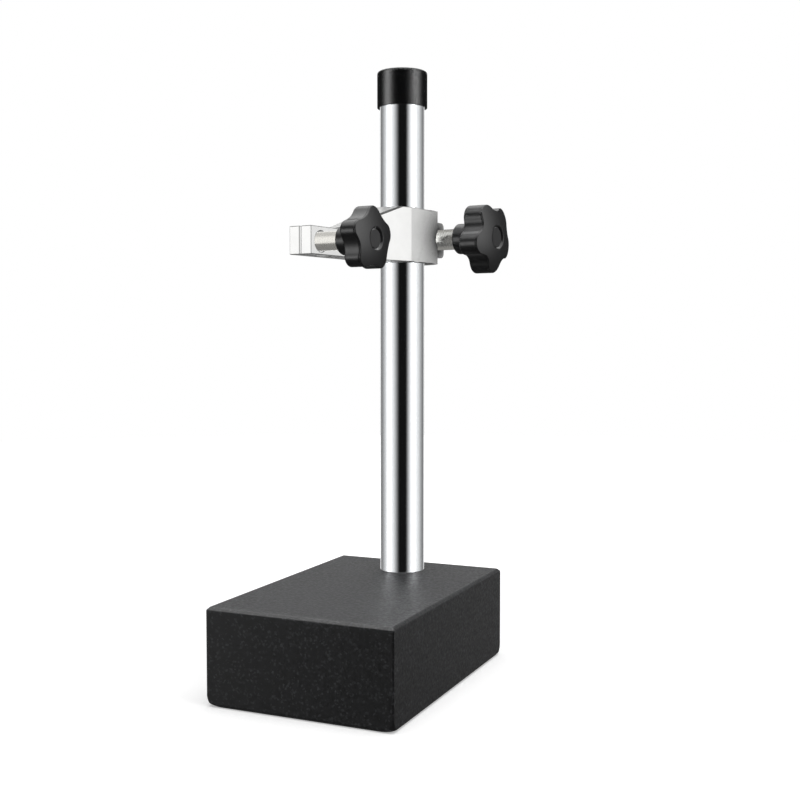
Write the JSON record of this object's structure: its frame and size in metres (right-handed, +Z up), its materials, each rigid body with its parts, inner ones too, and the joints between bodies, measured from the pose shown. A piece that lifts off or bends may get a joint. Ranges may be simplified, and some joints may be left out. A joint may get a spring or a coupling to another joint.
{
  "type": "comparator stand",
  "caption": "Comparator stand: bevelled granite block with a round upright column and a sliding split clamp arm that grips an indicator stem, tightened by star knobs.",
  "frame": {"origin": "middle of the granite block's underside", "axes": "+Z up along the column, +Y from the front of the block towards the column, +X to the side of the block"},
  "size_m": [0.1056, 0.1561, 0.331],
  "materials": {
    "granite": "honed",
    "chromed_steel": "polished",
    "bead_blasted_aluminium": "satin",
    "zinc_plated_steel": "satin",
    "brass": "machined",
    "cap_plastic": "gloss",
    "knob_plastic": "fine moulded",
    "disc_plastic": "fine moulded"
  },
  "bodies": {
    "base": {"granite_base": "granite", "column_bolt": "zinc_plated_steel", "bolt_washer": "zinc_plated_steel", "bolt_lock_washer": "zinc_plated_steel"},
    "post": {"column": "chromed_steel", "column_cap": "cap_plastic"},
    "clamp": {"clamp_arm": "bead_blasted_aluminium"},
    "column_clamp_sleeve": {"column_sleeve": "zinc_plated_steel"},
    "column_clamp_knob": {"column_screw": "zinc_plated_steel", "column_knob": "knob_plastic", "column_knob_bush": "brass", "column_knob_disc": "disc_plastic"},
    "stem_clamp_sleeve": {"stem_sleeve": "zinc_plated_steel"},
    "stem_clamp_knob": {"stem_screw": "zinc_plated_steel", "stem_knob": "knob_plastic", "stem_knob_bush": "brass", "stem_knob_disc": "disc_plastic"}
  },
  "joints": [
    {"name": "clamp_swivel", "type": "hinge", "parent": "base", "child": "post", "pos_m": [0, 0.05, 0.05], "axis": [0, 0, 1], "continuous": true},
    {"name": "clamp_lift", "type": "slide", "parent": "post", "child": "clamp", "axis": [0, 0, 1], "range_m": [-0.1635, 0.0565]},
    {"name": "column_screw_travel", "type": "slide", "parent": "clamp", "child": "column_clamp_sleeve", "axis": [0.989, -0.1478, 0], "range_m": [0, 0.00499]},
    {"name": "column_knob_turn", "type": "hinge", "parent": "column_clamp_sleeve", "child": "column_clamp_knob", "pos_m": [0.00273, 0.06825, 0.2382], "axis": [0.989, -0.1478, 0], "range_deg": [0, 1440]},
    {"name": "stem_screw_travel", "type": "slide", "parent": "clamp", "child": "stem_clamp_sleeve", "axis": [0.989, -0.1478, 0], "range_m": [0, 0.00399]},
    {"name": "stem_knob_turn", "type": "hinge", "parent": "stem_clamp_sleeve", "child": "stem_clamp_knob", "pos_m": [-0.01279, -0.03555, 0.2308], "axis": [0.989, -0.1478, 0], "range_deg": [0, 1440]}
  ],
  "couplings": [
    {"joint": "column_knob_turn", "follows": "column_screw_travel", "rad_per_m": 5026.5},
    {"joint": "stem_knob_turn", "follows": "stem_screw_travel", "rad_per_m": 6283.2}
  ]
}
